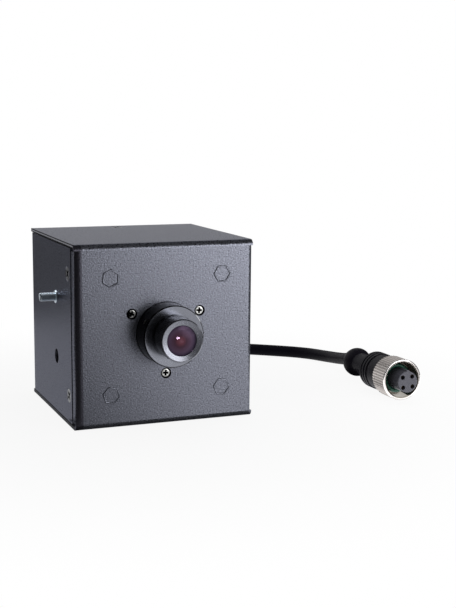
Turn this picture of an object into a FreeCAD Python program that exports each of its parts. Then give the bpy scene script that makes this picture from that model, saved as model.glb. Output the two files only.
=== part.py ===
import FreeCAD, Part
import math
import os

Vector = FreeCAD.Vector

# Cube camera, in millimetres. The origin is the middle of the bottom face.
# X points to the right of a viewer who faces the lens, the lens looks along -Y, and Z is up.

# Housing: two folded sheets
WIDTH = 64.0
DEPTH = 63.0
HEIGHT = 63.0
SHEET = 1.2
BEND = 2.0
SEAM_Y = -27.3
SEAM_GAP = 1.5
PLATE_GAP = 0.3
CORNER_SLIT = 0.2
TAB_WIDTH = 14.0
TAB_DEPTH = 11.0
TAB_FOOT = 7.0
TAB_SLIT = 0.8
SIDE = WIDTH / 2
FRONT = -DEPTH / 2
BACK = DEPTH / 2
INSIDE = SIDE - SHEET
INSIDE_FRONT = FRONT + SHEET
INSIDE_BACK = BACK - SHEET
FACE_Z = HEIGHT / 2

# Screws: how a head sits in its hole, and the cross recess as shares of the head's radius
HEAD_RIM = 0.15
SEAT_PLAY = 0.02
SHANK_PLAY = 0.05
TIP_CHAMFER = 0.3
CROSS_ARM, CROSS_HALF, CROSS_DEPTH, CROSS_FOOT = 0.74, 0.17, 0.6, 0.25

# Screws that hold the two sheets together, and the tapped strips that take the side ones
SHELL_HEAD_R = 2.4
SHELL_HEAD_SINK = 0.08
SHELL_SHANK_R = 1.25
SHELL_SCREW_LENGTH = 4.5
SIDE_SCREW_Y = -22.5
SIDE_SCREW_RISE = 21.0
REAR_SCREW_Y = 26.5
STRIP_THICK = 1.5
STRIP_FRONT = -29.4
STRIP_BACK = -17.6
STRIP_HALF = 26.5

# Side wall fixings for a bracket
FIXING_Y = -6.0
STUD_Z = 42.4
STUD_R = 1.5
STUD_SEAT_R = 1.7
STUD_REACH = 5.8
STUD_COLLAR_R = 2.3
STUD_COLLAR = 0.35
STUD_HEAD_R = 2.4
STUD_HEAD = 0.9
HOLE_Z = 21.2
HOLE_R = 2.6

# Clinch standoffs in the front panel, each pressed in at its own angle
STANDOFF_PITCH = 40.0
STANDOFF_SHIFT = 0.5
STANDOFF_LENGTH = 12.0
STANDOFF_FLATS = 5.0
STANDOFF_R = 2.1
STANDOFF_TAP = 9.0
HEX_SINK = 0.03
HEX_GROOVE = 0.2
HEX_TURNS = {(-1, 1): -6.0, (1, 1): 30.0, (-1, -1): 17.0, (1, -1): 23.0}
THREAD_R = 1.5

# Lens mount: a turned flange behind the panel and a neck through it
LENS_Z = 32.0
NECK_R = 10.65
NECK_REACH = 8.4
NECK_CHAMFER = 0.35
NECK_GAP = 0.15
FLANGE_R = 17.5
FLANGE_THICK = 3.5
MOUNT_WEB = 1.0
SKIRT_R = 11.0
SKIRT_BORE = 9.0
SEAL_THICK = 1.0
LENS_THREAD_R = 6.0
THREAD_PLAY = 0.05
SEAT_DEPTH = 1.5
HEAD_CLEARANCE = 0.4
MOUNT_PITCH_R = 14.1
MOUNT_HEAD_R = 1.25
MOUNT_HEAD_SINK = 0.45
MOUNT_SHANK_R = 0.8
MOUNT_SCREW_LENGTH = 4.2
CROSS_TURN, CROSS_TURN_STEP = 5.0, 45.0
LOCK_ANGLE = 150.0
LOCK_R = 1.0
LOCK_Y = -36.3
LOCK_SINK = 0.15
LOCK_CLEARANCE = 0.35
LOCK_SLOT_HALF, LOCK_SLOT_DEPTH = 0.2, 0.7
MOUNT_FRONT = FRONT - NECK_REACH
FLANGE_BACK = INSIDE_FRONT + FLANGE_THICK

# Lens: a barrel with a wider head, two glasses, a spacer and two rings
HEAD_R = 7.3
HEAD_BACK = -38.9
HEAD_CHAMFER = 0.3
LENS_REACH = 16.6
BARREL_BACK = -25.5
BARREL_CHAMFER = 0.5
BORE_PLAY = 0.05
RING_R = 6.85
RING_SINK = 0.08
RING_STEPS = 4
STEP_FALL, STEP_DROP, STEP_SLOPE = 0.085, 0.03, 0.03
GLASS_R = 5.2
GLASS_DEPTH = 2.1
FRONT_RIM = 1.2
FRONT_DOME, FRONT_HOLLOW, HOLLOW_R = 0.8, 1.3, 4.7
FRONT_BORE = 5.0
STOP_BORE = 4.0
STOP_DEPTH = 8.1
SPACER_LENGTH, SPACER_WIDE_R, SPACER_NARROW_R = 3.2, 4.4, 2.6
REAR_BORE = 4.6
REAR_ROOM = 4.5
REAR_RIM = 1.8
REAR_DOME, REAR_BULGE, BULGE_R = 1.0, 0.6, 3.5
REAR_RING_R = 3.6
REAR_RING_SINK = 0.2
LENS_FRONT = FRONT - LENS_REACH
FRONT_SEAT = LENS_FRONT + GLASS_DEPTH
FRONT_EDGE = FRONT_SEAT - FRONT_RIM
SPACER_SEAT = LENS_FRONT + STOP_DEPTH
REAR_SEAT = BARREL_BACK - REAR_ROOM
REAR_EDGE = REAR_SEAT + REAR_RIM

# Boards, the spacers between them and the screws behind them
BOARD = 48.0
BOARD_THICK = 1.6
BOARD_CORNER = 2.0
BOARD_HOLE_R = 1.6
SPACER = 10.0
SPACER_FLATS = 5.5
SPACER_STUD = 5.5
SPACER_TAP = 6.0
PAN_HEAD_R, PAN_HEAD_SIDE, PAN_HEAD_RISE = 2.75, 1.3, 2.1
PAN_SCREW_GRIP = 4.5
SENSOR_FACE = FRONT + STANDOFF_LENGTH
SENSOR_BACK = SENSOR_FACE + BOARD_THICK
MAIN_FACE = SENSOR_BACK + SPACER
MAIN_BACK = MAIN_FACE + BOARD_THICK

# Components: middle x, middle z, width, height and thickness on their board
SENSOR = (0.0, LENS_Z, 9.0, 8.0, 1.2)
SENSOR_GLASS = (0.0, LENS_Z, 7.5, 6.5, 0.5)
MAIN_COMPONENTS = {
    "processor": (-6.0, 38.0, 15.0, 15.0, 1.5),
    "storage_chip": (-4.0, 25.0, 8.0, 6.0, 1.2),
    "network_transformer": (12.0, 21.0, 12.7, 9.0, 5.5),
    "power_inductor": (-16.0, 26.0, 7.3, 7.3, 4.0),
}
MEMORY_CHIPS = [(8.5, 33.0, 9.0, 7.5, 1.0), (8.5, 43.0, 9.0, 7.5, 1.0)]
CAPACITOR_R, CAPACITOR_HEIGHT = 3.15, 7.5
CAPACITOR_Z = 15.5
CAPACITOR_X = (-14.0, -6.0)
LINK_Z = 50.0
LINK_SPLIT = 5.2
LINK_SOCKET, LINK_PLUG = (20.0, 5.5), (18.4, 4.2)
HEADER_X, HEADER_Z = 9.0, 11.0
HEADER_WIDTH, HEADER_HEIGHT, HEADER_THICK = 12.0, 5.0, 5.0
PLUG_WIDTH, PLUG_HEIGHT, PLUG_THICK = 11.0, 4.4, 6.0
PLUG_BACK = MAIN_BACK + HEADER_THICK + PLUG_THICK

# Cable, from inside the back wall to the connector, as points along its middle
CABLE_R = 2.45
CABLE_ROUTE = [
    (17.0, 26.0, 14.0), (17.0, 42.0, 14.0), (18.5, 57.5, 11.0), (27.0, 71.5, 5.6), (42.0, 79.0, 2.9),
    (59.0, 78.0, 2.5), (78.3, 65.0, 2.5), (93.6, 52.7, 2.5), (97.7, 37.8, 3.3), (97.25, 23.5, 5.2),
    (96.55, 16.7, 6.66), (96.37, 13.69, 6.75),
]
ARC_SHARE = 0.45
CABLE_END_Y = CABLE_ROUTE[0][1]
LEAD_R = 0.5
LEAD_PITCH = 2.0
LEAD_SPREAD = 1.1
LEAD_STAGGER = 0.8
LEAD_FROM_CABLE, LEAD_TO_PLUG = 6.5, 8.0

# Strain relief where the cable leaves the back wall
BUSHING_X, BUSHING_Z = 17.0, 14.0
BUSHING_HOLE_R = 5.0
BUSHING_PLAY = 0.05
BUSHING_BARB, BUSHING_BARB_R, BUSHING_TIP_R = 3.2, 5.6, 4.7
BUSHING_BARB_EDGE = 0.6
BUSHING_FLANGE, BUSHING_FLANGE_R = 1.4, 6.6
BUSHING_SNOUT, BUSHING_SNOUT_R, BUSHING_ROOT_R = 8.0, 3.5, 5.2
BUSHING_STEP = 0.4

# Connector, lying on its side: its own axis is -Y and its origin is the middle of the nut's rim
CONNECTOR_AT = (93.71, -31.08, 8.08)
CONNECTOR_TURN = -3.4
CONNECTOR_TILT = 1.7
NUT_R = 7.75
NUT_ROOT_R = 7.45
NUT_RIDGES = 48
NUT_LENGTH = 10.0
NUT_BORE_R = 6.55
NUT_MOUTH_R = 6.95
NUT_FLANGE = 2.6
NUT_CHAMFER, NUT_CHAMFER_DROP = 0.8, 0.4
INSERT_R = 4.0
INSERT_REACH = 4.5
INSERT_EDGE = 0.25
KEY_R, KEY_X, KEY_SINK = 0.7, 0.1, 0.2
SHOULDER, SHOULDER_R = 1.7, 5.6
NOSE_R = 5.1
NOSE_GRIP = 3.0
END_PLAY = 0.3
RUN_PLAY = 0.05
CONTACT_PITCH_R = 2.72
CONTACT_HOLE_R = 0.85
CONTACT_BORE_R = 0.55
CONTACT_PLAY = 0.02
CONTACT_SINK, CONTACT_SHORT = 2.5, 0.5
CONTACT_TURN = 48.0
SEAL_R = 0.8
GRIP_R = 6.95
GRIP_LENGTH = 6.0
GRIP_EDGE = 0.5
GROOVE_DEPTH, GROOVE_WALL, GROOVE_WIDTH = 0.55, 0.2, 0.6
RIDGE_COUNT, RIDGE_PITCH, RIDGE_RISE = 3, 2.1, 0.2
SHOULDER_BACK_R, SHOULDER_FALL = 5.2, 0.6
TAIL_NECK_R, TAIL_NECK_START = 4.25, 1.6
BULB_R = 5.73
BULB_Y = 39.8
BODY_BACK = 44.87
SHOULDER_BACK = NUT_LENGTH - NUT_FLANGE - END_PLAY
SHOULDER_FRONT = SHOULDER_BACK - SHOULDER
NOSE_END = NUT_LENGTH + NOSE_GRIP

# How far a cutting shape runs past the face that it cuts
PAST = 1.0


def block(x0, x1, y0, y1, z0, z1):
    """A box between two corners."""
    return Part.makeBox(x1 - x0, y1 - y0, z1 - z0, Vector(x0, y0, z0))


def rod(start, end, radius):
    """A round bar between two points."""
    along = Vector(*end).sub(Vector(*start))
    return Part.makeCylinder(radius, along.Length, Vector(*start), along)


def outline(steps, place):
    """A flat face; a step is a point, or a pair of points for an arc through the first."""
    edges = []
    here = place(*steps[0])
    for step in steps[1:] + steps[:1]:
        if isinstance(step[0], tuple):
            middle, end = place(*step[0]), place(*step[1])
            edges.append(Part.Arc(here, middle, end).toShape())
        else:
            end = place(*step)
            edges.append(Part.LineSegment(here, end).toShape())
        here = end
    return Part.Face(Part.Wire(edges))


def turned(profile, x=0.0, z=0.0):
    """A solid of revolution about a line along Y; the profile is (radius, y)."""
    face = outline(profile, lambda r, y: Vector(r, y, 0))
    solid = face.revolve(Vector(0, 0, 0), Vector(0, 1, 0), 360)
    solid.translate(Vector(x, 0, z))
    return solid


def ring(outer, inner, y0, y1, x=0.0, z=0.0):
    """A plain ring about a line along Y."""
    return turned([(inner, y0), (outer, y0), (outer, y1), (inner, y1)], x, z)


def cap_middle(rim, edge, apex):
    """Halfway along the arc of a ball from its top on the axis to a rim, as (radius, y)."""
    rise = edge - apex
    ball = (rim ** 2 + rise ** 2) / (2 * rise)
    half = math.asin(rim / abs(ball)) / 2
    return (abs(ball) * math.sin(half), apex + ball * (1 - math.cos(half)))


def rounded(corners, radius):
    """Steps along a path of right-angled corners, each rounded by the radius."""
    steps = [corners[0]]
    for before, corner, after in zip(corners, corners[1:], corners[2:]):
        into = Vector(corner[0] - before[0], corner[1] - before[1], 0).normalize()
        out = Vector(after[0] - corner[0], after[1] - corner[1], 0).normalize()
        start = (corner[0] - radius * into.x, corner[1] - radius * into.y)
        end = (corner[0] + radius * out.x, corner[1] + radius * out.y)
        inset = radius * (1 - math.sqrt(0.5))
        middle = (corner[0] + inset * (out.x - into.x), corner[1] + inset * (out.y - into.y))
        steps += [start, (middle, end)]
    return steps + [corners[-1]]


def folded(outer, inner):
    """The section of a folded sheet between its outer and its inner path."""
    return rounded(outer, BEND) + rounded(inner[::-1], BEND - SHEET)


def along_x(profile, x0, x1):
    """A (y, z) section drawn out along X."""
    return outline(profile, lambda y, z: Vector(x0, y, z)).extrude(Vector(x1 - x0, 0, 0))


def along_z(profile, z0, z1):
    """An (x, y) section drawn out along Z."""
    return outline(profile, lambda x, y: Vector(x, y, z0)).extrude(Vector(0, 0, z1 - z0))


def hexagon(flats, x, z, y0, y1, turn):
    """A hexagon bar along Y; one flat faces the turn angle, counted from +X towards +Z."""
    radius = flats / math.sqrt(3)
    angles = [math.radians(turn + 30 + 60 * i) for i in range(6)]
    corners = [(x + radius * math.cos(a), z + radius * math.sin(a)) for a in angles]
    return outline(corners, lambda u, v: Vector(u, y0, v)).extrude(Vector(0, y1 - y0, 0))


def aimed(shape, at, direction):
    """Moves a shape made along +Z so that its origin is at a point and it runs in a direction."""
    turn = FreeCAD.Rotation(Vector(0, 0, 1), Vector(*direction))
    shape.Placement = FreeCAD.Placement(Vector(*at), turn)
    return shape


def stepped(profile):
    """A solid of revolution about +Z; the profile is (radius, depth)."""
    face = outline(profile, lambda r, t: Vector(r, 0, t))
    return face.revolve(Vector(0, 0, 0), Vector(0, 0, 1), 360)


def countersunk_screw(at, direction, head_r, sink, shank_r, length, turn=45.0):
    """A countersunk screw with a cross recess, its head sunk a little under the surface it sits in."""
    cone_start = sink + HEAD_RIM
    screw = stepped([
        (0, sink), (head_r, sink), (head_r, cone_start), (shank_r, cone_start + head_r - shank_r),
        (shank_r, length - TIP_CHAMFER), (shank_r - TIP_CHAMFER, length), (0, length),
    ])
    arm, half, foot, depth = [share * head_r for share in (CROSS_ARM, CROSS_HALF, CROSS_FOOT, CROSS_DEPTH)]
    taper = Part.makeCone(arm, foot, depth, Vector(0, 0, sink))
    for angle in (turn, turn + 90):
        slot = block(-arm, arm, -half, half, sink, sink + depth)
        slot.rotate(Vector(0, 0, 0), Vector(0, 0, 1), angle)
        screw = screw.cut(slot.common(taper))
    return aimed(screw, at, direction)


def countersink(at, direction, head_r, sink, shank_r, length):
    """The hole for such a screw: a cone that the head sits in, and a clear way for the shank."""
    mouth_r = head_r + sink + HEAD_RIM + SEAT_PLAY
    bore_r = shank_r + SHANK_PLAY
    hole = stepped([
        (0, -PAST), (mouth_r, -PAST), (mouth_r, 0), (bore_r, mouth_r - bore_r),
        (bore_r, length + PAST), (0, length + PAST),
    ])
    return aimed(hole, at, direction)


def ring_of(count, radius, start, x, z):
    """Points spaced evenly round a line along Y."""
    angles = [math.radians(start + 360 / count * i) for i in range(count)]
    return [(x + radius * math.cos(a), z + radius * math.sin(a)) for a in angles]


def save(name, shape):
    """Writes one piece, or one group of like pieces."""
    shape.exportStep("parts/" + name + ".step")
    print(name, "solids", len(shape.Solids), "valid", shape.isValid(), "volume", round(shape.Volume, 1))


SIDE_SCREWS = [(s, FACE_Z + rise) for s in (-1, 1) for rise in (-SIDE_SCREW_RISE, SIDE_SCREW_RISE)]
REAR_SCREWS = [((0, REAR_SCREW_Y, HEIGHT), (0, 0, -1)), ((0, REAR_SCREW_Y, 0), (0, 0, 1))]
STANDOFFS = {
    (s, t): (STANDOFF_SHIFT + s * STANDOFF_PITCH / 2, FACE_Z + t * STANDOFF_PITCH / 2) for s, t in HEX_TURNS
}
MOUNT_SCREWS = ring_of(3, MOUNT_PITCH_R, 30, 0, LENS_Z)
SHELL_SCREW = (SHELL_HEAD_R, SHELL_HEAD_SINK, SHELL_SHANK_R, SHELL_SCREW_LENGTH)
MOUNT_SCREW = (MOUNT_HEAD_R, MOUNT_HEAD_SINK, MOUNT_SHANK_R, MOUNT_SCREW_LENGTH)


def front_shell():
    """Bottom, front and top folded from one sheet; the front also has two short side flanges."""
    strip = along_x(folded(
        [(BACK, 0), (FRONT, 0), (FRONT, HEIGHT), (BACK, HEIGHT)],
        [(BACK, SHEET), (INSIDE_FRONT, SHEET), (INSIDE_FRONT, HEIGHT - SHEET), (BACK, HEIGHT - SHEET)],
    ), -SIDE, SIDE)
    for s in (-1, 1):
        edges = sorted((s * (SIDE - BEND), s * (SIDE + PAST)))
        strip = strip.cut(block(*edges, FRONT - PAST, FRONT + BEND, BEND, HEIGHT - BEND))
    flange_end = SEAM_Y - SEAM_GAP / 2
    front = along_z(folded(
        [(-SIDE, flange_end), (-SIDE, FRONT), (SIDE, FRONT), (SIDE, flange_end)],
        [(-INSIDE, flange_end), (-INSIDE, INSIDE_FRONT), (INSIDE, INSIDE_FRONT), (INSIDE, flange_end)],
    ), BEND + CORNER_SLIT, HEIGHT - BEND - CORNER_SLIT)
    shell = strip.fuse(front).removeSplitter()
    through = (FRONT - PAST, INSIDE_FRONT + PAST)
    shell = shell.cut(rod((0, through[0], LENS_Z), (0, through[1], LENS_Z), NECK_R + NECK_GAP))
    for key, (x, z) in STANDOFFS.items():
        shell = shell.cut(hexagon(STANDOFF_FLATS + HEX_GROOVE, x, z, *through, HEX_TURNS[key]))
    for x, z in MOUNT_SCREWS:
        shell = shell.cut(countersink((x, FRONT, z), (0, 1, 0), *MOUNT_SCREW))
    for at, direction in REAR_SCREWS:
        shell = shell.cut(countersink(at, direction, *SHELL_SCREW))
    return shell


def rear_shell():
    """Left wall, back and right wall folded from one sheet that stands between top and bottom."""
    low, high = SHEET + PLATE_GAP, HEIGHT - SHEET - PLATE_GAP
    start = SEAM_Y + SEAM_GAP / 2
    shell = along_z(folded(
        [(-SIDE, start), (-SIDE, BACK), (SIDE, BACK), (SIDE, start)],
        [(-INSIDE, start), (-INSIDE, INSIDE_BACK), (INSIDE, INSIDE_BACK), (INSIDE, start)],
    ), low, high)
    half = TAB_WIDTH / 2
    through = (INSIDE_BACK - PAST, BACK + PAST)
    for level, foot, under in ((HEIGHT - SHEET, HEIGHT - TAB_FOOT, -SHEET), (SHEET, TAB_FOOT, SHEET)):
        slit = sorted((foot - under, level))
        shell = shell.cut(block(-half - TAB_SLIT, half + TAB_SLIT, *through, *slit))
        shell = shell.fuse(along_x(folded(
            [(BACK, foot), (BACK, level), (BACK - TAB_DEPTH, level)],
            [(INSIDE_BACK, foot), (INSIDE_BACK, level + under), (BACK - TAB_DEPTH, level + under)],
        ), -half, half))
    shell = shell.removeSplitter()
    for at, direction in REAR_SCREWS:
        shell = shell.cut(countersink(at, direction, *SHELL_SCREW))
    for s, z in SIDE_SCREWS:
        shell = shell.cut(countersink((s * SIDE, SIDE_SCREW_Y, z), (-s, 0, 0), *SHELL_SCREW))
    for z, radius in ((STUD_Z, STUD_SEAT_R + SHANK_PLAY), (HOLE_Z, HOLE_R)):
        shell = shell.cut(rod((-SIDE - PAST, FIXING_Y, z), (PAST - INSIDE, FIXING_Y, z), radius))
    exit_from, exit_to = [(BUSHING_X, y, BUSHING_Z) for y in through]
    return shell.cut(rod(exit_from, exit_to, BUSHING_HOLE_R))


def screw_strips():
    """Tapped strips welded behind the flanges, which take the side screws."""
    strips = []
    for s in (-1, 1):
        edges = sorted((s * INSIDE, s * (INSIDE - STRIP_THICK)))
        strip = block(*edges, STRIP_FRONT, STRIP_BACK, FACE_Z - STRIP_HALF, FACE_Z + STRIP_HALF)
        for z in [z for side, z in SIDE_SCREWS if side == s]:
            strip = strip.cut(countersink((s * SIDE, SIDE_SCREW_Y, z), (-s, 0, 0), *SHELL_SCREW))
        strips.append(strip)
    return Part.makeCompound(strips)


def shell_side_screws():
    return Part.makeCompound([
        countersunk_screw((s * SIDE, SIDE_SCREW_Y, z), (-s, 0, 0), *SHELL_SCREW) for s, z in SIDE_SCREWS
    ])


def shell_rear_screws():
    return Part.makeCompound([countersunk_screw(at, inward, *SHELL_SCREW) for at, inward in REAR_SCREWS])


def panel_standoffs():
    """Blind standoffs: a hexagon head flush in the panel and a tapped barrel behind it."""
    posts = []
    for key, (x, z) in STANDOFFS.items():
        post = hexagon(STANDOFF_FLATS, x, z, FRONT + HEX_SINK, INSIDE_FRONT, HEX_TURNS[key])
        post = post.fuse(rod((x, INSIDE_FRONT, z), (x, SENSOR_FACE, z), STANDOFF_R))
        tapped = rod((x, SENSOR_FACE - STANDOFF_TAP, z), (x, SENSOR_FACE + PAST, z), THREAD_R)
        posts.append(post.cut(tapped))
    return Part.makeCompound(posts)


def side_stud():
    """A plated stud: its head inside the wall, a collar outside and the thread for a bracket nut."""
    head = STUD_HEAD - INSIDE
    tip = SIDE + STUD_REACH
    collar = SIDE + STUD_COLLAR
    stud = stepped([
        (0, head), (STUD_HEAD_R, head), (STUD_HEAD_R, -INSIDE), (STUD_SEAT_R, -INSIDE),
        (STUD_SEAT_R, -SIDE), (STUD_COLLAR_R, -SIDE), (STUD_COLLAR_R, -collar), (STUD_R, -collar),
        (STUD_R, TIP_CHAMFER - tip), (STUD_R - TIP_CHAMFER, -tip), (0, -tip),
    ])
    return aimed(stud, (0, FIXING_Y, STUD_Z), (1, 0, 0))


def lock_direction():
    angle = math.radians(LOCK_ANGLE)
    return (math.cos(angle), 0, math.sin(angle))


def lens_mount():
    """A flange behind the panel, a neck through it, and a skirt that closes round the sensor."""
    seat = MOUNT_FRONT + SEAT_DEPTH
    bore = LENS_THREAD_R + THREAD_PLAY
    mouth = HEAD_R + HEAD_CLEARANCE
    skirt_end = SENSOR_FACE - SEAL_THICK
    web = FLANGE_BACK - MOUNT_WEB
    mount = turned([
        (bore, seat), (mouth, seat), (mouth, MOUNT_FRONT), (NECK_R - NECK_CHAMFER, MOUNT_FRONT),
        (NECK_R, MOUNT_FRONT + NECK_CHAMFER), (NECK_R, INSIDE_FRONT), (FLANGE_R, INSIDE_FRONT),
        (FLANGE_R, FLANGE_BACK), (SKIRT_R, FLANGE_BACK), (SKIRT_R, skirt_end), (SKIRT_BORE, skirt_end),
        (SKIRT_BORE, web), (bore, web),
    ], 0, LENS_Z)
    for x, z in MOUNT_SCREWS:
        start, end = (x, INSIDE_FRONT - PAST, z), (x, FLANGE_BACK + PAST, z)
        mount = mount.cut(rod(start, end, MOUNT_SHANK_R + SHANK_PLAY))
    hole = Part.makeCylinder(LOCK_R + SHANK_PLAY, NECK_R + PAST)
    return mount.cut(aimed(hole, (0, LOCK_Y, LENS_Z), lock_direction()))


def lens_lock_screw():
    """A slotted set screw whose tip stops just short of the lens thread."""
    tip, top = LENS_THREAD_R + LOCK_CLEARANCE, NECK_R - LOCK_SINK
    screw = stepped([
        (0, tip), (LOCK_R - TIP_CHAMFER, tip), (LOCK_R, tip + TIP_CHAMFER), (LOCK_R, top), (0, top),
    ])
    slot = block(-LOCK_R, LOCK_R, -LOCK_SLOT_HALF, LOCK_SLOT_HALF, top - LOCK_SLOT_DEPTH, top + PAST)
    return aimed(screw.cut(slot), (0, LOCK_Y, LENS_Z), lock_direction())


def light_seal():
    return ring(SKIRT_R, SKIRT_BORE, SENSOR_FACE - SEAL_THICK, SENSOR_FACE, 0, LENS_Z)


def lens_mount_screws():
    return Part.makeCompound([
        countersunk_screw((x, FRONT, z), (0, 1, 0), *MOUNT_SCREW, turn=CROSS_TURN + CROSS_TURN_STEP * i)
        for i, (x, z) in enumerate(MOUNT_SCREWS)
    ])


def lens_barrel():
    """The threaded barrel with a wider head; its bore is stepped for the glass."""
    return turned([
        (RING_R, LENS_FRONT), (HEAD_R - HEAD_CHAMFER, LENS_FRONT), (HEAD_R, LENS_FRONT + HEAD_CHAMFER),
        (HEAD_R, HEAD_BACK), (LENS_THREAD_R, HEAD_BACK), (LENS_THREAD_R, BARREL_BACK - BARREL_CHAMFER),
        (LENS_THREAD_R - BARREL_CHAMFER, BARREL_BACK), (REAR_BORE, BARREL_BACK), (REAR_BORE, REAR_SEAT),
        (STOP_BORE, REAR_SEAT), (STOP_BORE, SPACER_SEAT), (FRONT_BORE, SPACER_SEAT), (FRONT_BORE, FRONT_SEAT),
        (RING_R, FRONT_SEAT),
    ], 0, LENS_Z)


def lens_front_ring():
    """The ring that holds the front glass: a shallow funnel of sloping rings, each a small step lower."""
    radius, depth = RING_R - BORE_PLAY, LENS_FRONT + RING_SINK
    tread = (radius - GLASS_R) / RING_STEPS
    profile = [(radius, FRONT_EDGE), (radius, depth)]
    for _ in range(RING_STEPS):
        radius -= tread
        depth += STEP_FALL
        profile.append((radius + STEP_SLOPE, depth))
        depth += STEP_DROP
        profile.append((radius, depth))
    return turned(profile + [(radius, FRONT_EDGE)], 0, LENS_Z)


def front_lens():
    """A domed meniscus whose rim sits between the barrel's step and the ring."""
    rim, dome_r = RING_R - BORE_PLAY, GLASS_R - BORE_PLAY
    top, hollow = FRONT_EDGE - FRONT_DOME, FRONT_SEAT - FRONT_HOLLOW
    return turned([
        (0, top), (cap_middle(dome_r, FRONT_EDGE, top), (dome_r, FRONT_EDGE)), (rim, FRONT_EDGE),
        (rim, FRONT_SEAT), (HOLLOW_R, FRONT_SEAT), (cap_middle(HOLLOW_R, FRONT_SEAT, hollow), (0, hollow)),
    ], 0, LENS_Z)


def lens_spacer():
    """A coned spacer that shades the middle of the barrel."""
    outer = FRONT_BORE - BORE_PLAY
    front = SPACER_SEAT - SPACER_LENGTH
    return turned([
        (outer, front), (outer, SPACER_SEAT), (SPACER_NARROW_R, SPACER_SEAT), (SPACER_WIDE_R, front),
    ], 0, LENS_Z)


def rear_lens():
    """A glass domed on both sides, held in the back of the barrel."""
    rim, dome_r = REAR_BORE - BORE_PLAY, STOP_BORE - BORE_PLAY
    top, bulge = REAR_SEAT - REAR_DOME, REAR_EDGE + REAR_BULGE
    return turned([
        (0, top), (cap_middle(dome_r, REAR_SEAT, top), (dome_r, REAR_SEAT)), (rim, REAR_SEAT),
        (rim, REAR_EDGE), (BULGE_R, REAR_EDGE), (cap_middle(BULGE_R, REAR_EDGE, bulge), (0, bulge)),
    ], 0, LENS_Z)


def rear_lens_ring():
    return ring(REAR_BORE - BORE_PLAY, REAR_RING_R, REAR_EDGE, BARREL_BACK - REAR_RING_SINK, 0, LENS_Z)


def board(face, back):
    """A square board with rounded corners and four screw holes."""
    half = BOARD / 2
    plate = block(-half, half, face, back, FACE_Z - half, FACE_Z + half)
    corners = [e for e in plate.Edges if abs(e.Vertexes[0].Y - e.Vertexes[-1].Y) > BOARD_THICK / 2]
    plate = plate.makeFillet(BOARD_CORNER, corners)
    for x, z in STANDOFFS.values():
        plate = plate.cut(rod((x, face - PAST, z), (x, back + PAST, z), BOARD_HOLE_R))
    return plate


def chip(x, z, width, height, thick, face):
    """A component on a board face, about its middle; a negative thickness faces the front."""
    near, far = sorted((face, face + thick))
    return block(x - width / 2, x + width / 2, near, far, z - height / 2, z + height / 2)


def board_spacers():
    """Hexagon spacers: a thread at one end that clamps the sensor board, a tapped hole at the other."""
    posts = []
    for x, z in STANDOFFS.values():
        post = hexagon(SPACER_FLATS, x, z, SENSOR_BACK, MAIN_FACE, 0)
        stud = rod((x, SENSOR_FACE - SPACER_STUD, z), (x, SENSOR_BACK, z), THREAD_R - SHANK_PLAY)
        tapped = rod((x, MAIN_FACE - SPACER_TAP, z), (x, MAIN_FACE + PAST, z), THREAD_R)
        posts.append(post.fuse(stud).cut(tapped))
    return Part.makeCompound(posts)


def main_board_screws():
    """Pan head screws into the spacers."""
    shank, tip = THREAD_R - SHANK_PLAY, MAIN_FACE - PAN_SCREW_GRIP
    edge, top = MAIN_BACK + PAN_HEAD_SIDE, MAIN_BACK + PAN_HEAD_RISE
    profile = [
        (0, tip), (shank, tip), (shank, MAIN_BACK), (PAN_HEAD_R, MAIN_BACK), (PAN_HEAD_R, edge),
        (cap_middle(PAN_HEAD_R, edge, top), (0, top)),
    ]
    return Part.makeCompound([turned(profile, x, z) for x, z in STANDOFFS.values()])


def memory_chips():
    return Part.makeCompound([chip(*place, MAIN_BACK) for place in MEMORY_CHIPS])


def storage_capacitors():
    top = MAIN_BACK + CAPACITOR_HEIGHT
    return Part.makeCompound([
        rod((x, MAIN_BACK, CAPACITOR_Z), (x, top, CAPACITOR_Z), CAPACITOR_R) for x in CAPACITOR_X
    ])


def board_link():
    """A plug and a socket that join the two boards."""
    socket = chip(0, LINK_Z, *LINK_SOCKET, LINK_SPLIT, SENSOR_BACK)
    plug = chip(0, LINK_Z, *LINK_PLUG, LINK_SPLIT - SPACER, MAIN_FACE)
    return Part.makeCompound([socket, plug])


def rounded_route(points):
    """Straight runs joined by tangent arcs, each as large as its two runs allow."""
    points = [Vector(*p) for p in points]
    edges, radii = [], []
    here = points[0]
    for before, corner, after in zip(points, points[1:], points[2:]):
        into, out = corner.sub(before), after.sub(corner)
        share = ARC_SHARE * min(into.Length, out.Length)
        half_turn = into.getAngle(out) / 2
        into.normalize()
        out.normalize()
        radius = share / math.tan(half_turn)
        start, end = corner - into * share, corner + out * share
        middle = corner + (out - into).normalize() * (radius / math.cos(half_turn) - radius)
        edges += [Part.LineSegment(here, start).toShape(), Part.Arc(start, middle, end).toShape()]
        radii.append(round(radius, 1))
        here = end
    edges.append(Part.LineSegment(here, points[-1]).toShape())
    return Part.Wire(edges), radii


def tube(path, radius):
    """A round solid along a path."""
    first = path.Edges[0]
    section = Part.makeCircle(radius, first.Vertexes[0].Point, first.tangentAt(first.FirstParameter))
    return path.makePipeShell([Part.Wire(section)], True, True)


def inner_leads():
    """Four insulated wires from the cable's end to the plug on the main board."""
    leads = []
    for i, (x, z) in enumerate(ring_of(4, LEAD_SPREAD, 135, BUSHING_X, BUSHING_Z)):
        lead_x = HEADER_X + LEAD_PITCH * (i - 1.5)
        bend_out = CABLE_END_Y - LEAD_FROM_CABLE - LEAD_STAGGER * i
        bend_in = PLUG_BACK + LEAD_TO_PLUG - LEAD_STAGGER * i
        path, _ = rounded_route([
            (x, CABLE_END_Y, z), (x, bend_out, z), (lead_x, bend_in, HEADER_Z), (lead_x, PLUG_BACK, HEADER_Z),
        ])
        leads.append(tube(path, LEAD_R))
    return Part.makeCompound(leads)


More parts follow.
